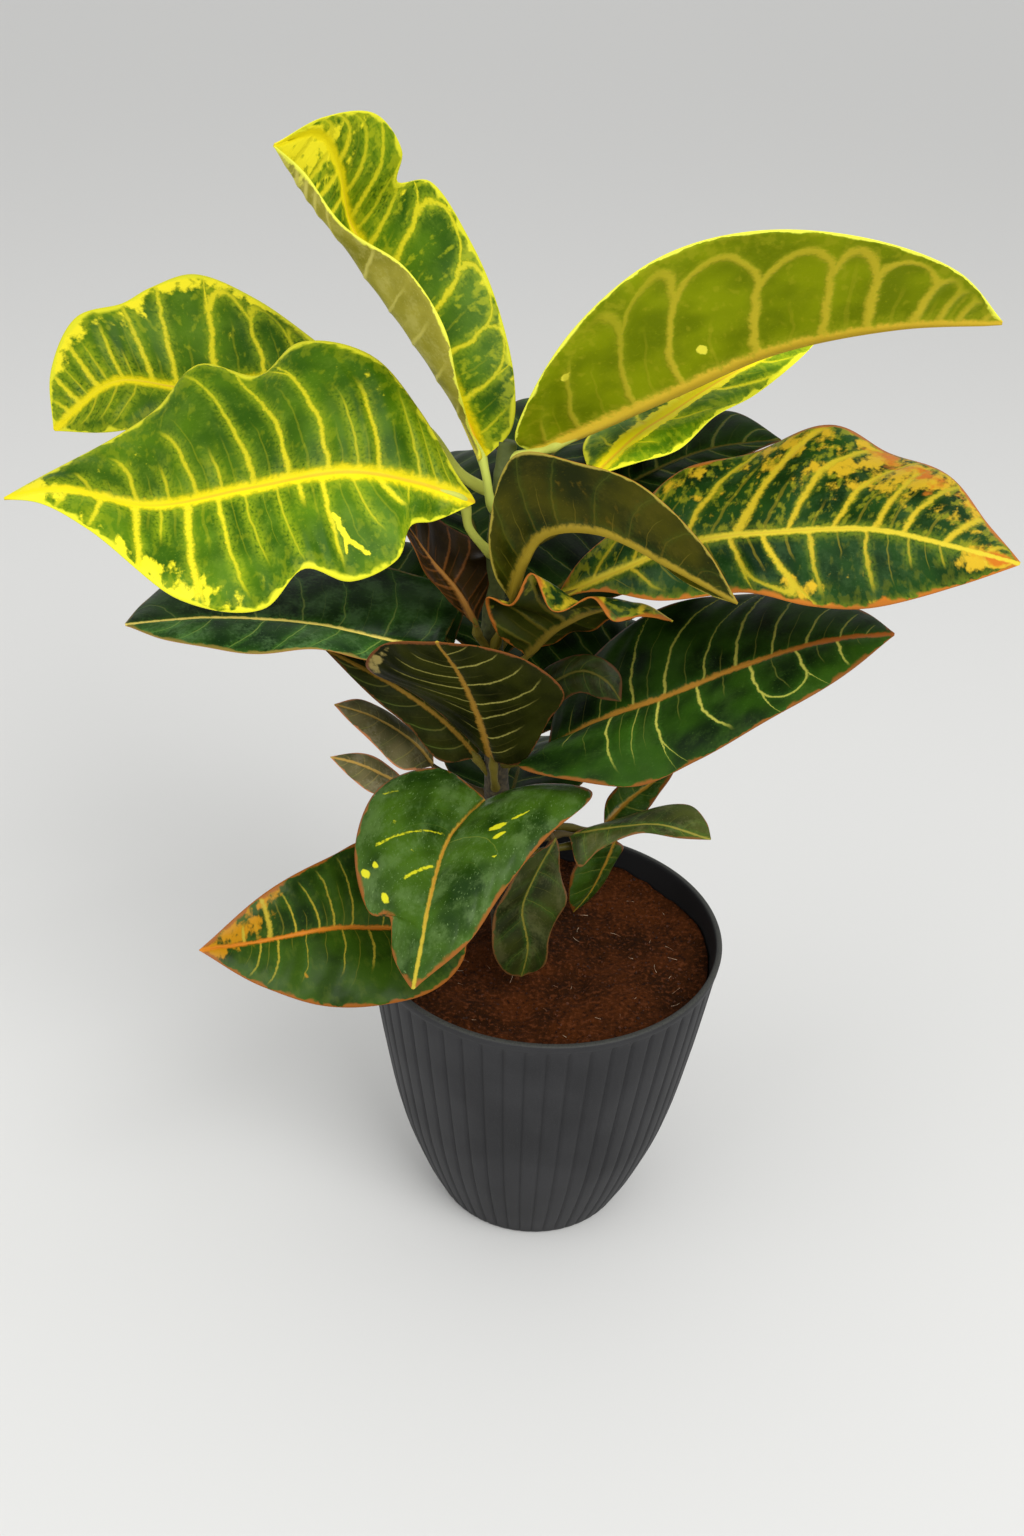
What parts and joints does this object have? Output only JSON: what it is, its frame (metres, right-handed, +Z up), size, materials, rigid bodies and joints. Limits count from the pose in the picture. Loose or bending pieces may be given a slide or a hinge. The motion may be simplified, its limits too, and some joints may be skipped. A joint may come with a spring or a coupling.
{
  "type": "potted croton",
  "caption": "Potted croton: a leafy house plant with broad variegated leaves on one upright stem, in a ribbed round plastic pot.",
  "frame": {"origin": "middle of the pot's flat bottom", "axes": "+Z up along the pot's axis, -Y towards the front of the plant, +X to the right seen from the front"},
  "size_m": [0.3321, 0.2396, 0.4467],
  "materials": {
    "pot_plastic": "matt charcoal, fine moulded grain",
    "soil_peat": "damp, crumbly, with short fibres",
    "stem_bark": "dull bark, greener near the top",
    "leaf_bright": "waxy, bright green with yellow veins",
    "leaf_golden": "waxy, dark green with golden and orange blotches",
    "leaf_deep": "glossy, dark green with thin pale veins and an orange edge",
    "leaf_underside": "satin olive underside with ochre veins",
    "leaf_dusky": "dull grey-brown, faintly pink"
  },
  "bodies": {
    "root": {"pot": "pot_plastic", "soil": "soil_peat", "stem": "stem_bark", "leaf_tall": "leaf_bright", "leaf_left_back": "leaf_bright", "leaf_left_front": "leaf_bright", "leaf_right_arch": "leaf_underside", "leaf_right_bright": "leaf_bright", "leaf_back_right": "leaf_deep", "leaf_right_blotched": "leaf_golden", "leaf_centre_curl": "leaf_underside", "leaf_centre_ruffled": "leaf_golden", "leaf_left_brown": "leaf_dusky", "leaf_left_dark": "leaf_deep", "leaf_right_dark": "leaf_deep", "leaf_centre_cupped": "leaf_underside", "leaf_left_inner": "leaf_underside", "leaf_front_low": "leaf_deep", "leaf_left_low": "leaf_deep", "leaf_soil_hanging": "leaf_dusky", "leaf_right_small": "leaf_dusky", "leaf_right_low_back": "leaf_dusky", "leaf_right_low_front": "leaf_deep", "leaf_centre_small": "leaf_deep", "leaf_left_pink_high": "leaf_dusky", "leaf_left_pink_low": "leaf_dusky", "leaf_rear_top": "leaf_deep", "leaf_rear_left_up": "leaf_deep", "leaf_rear_right_mid": "leaf_deep", "leaf_rear_left_mid": "leaf_deep", "leaf_rear_middle": "leaf_deep", "leaf_rear_low": "leaf_deep", "leaf_rear_right_low": "leaf_deep", "leaf_rear_base": "leaf_deep"}
  },
  "joints": []
}
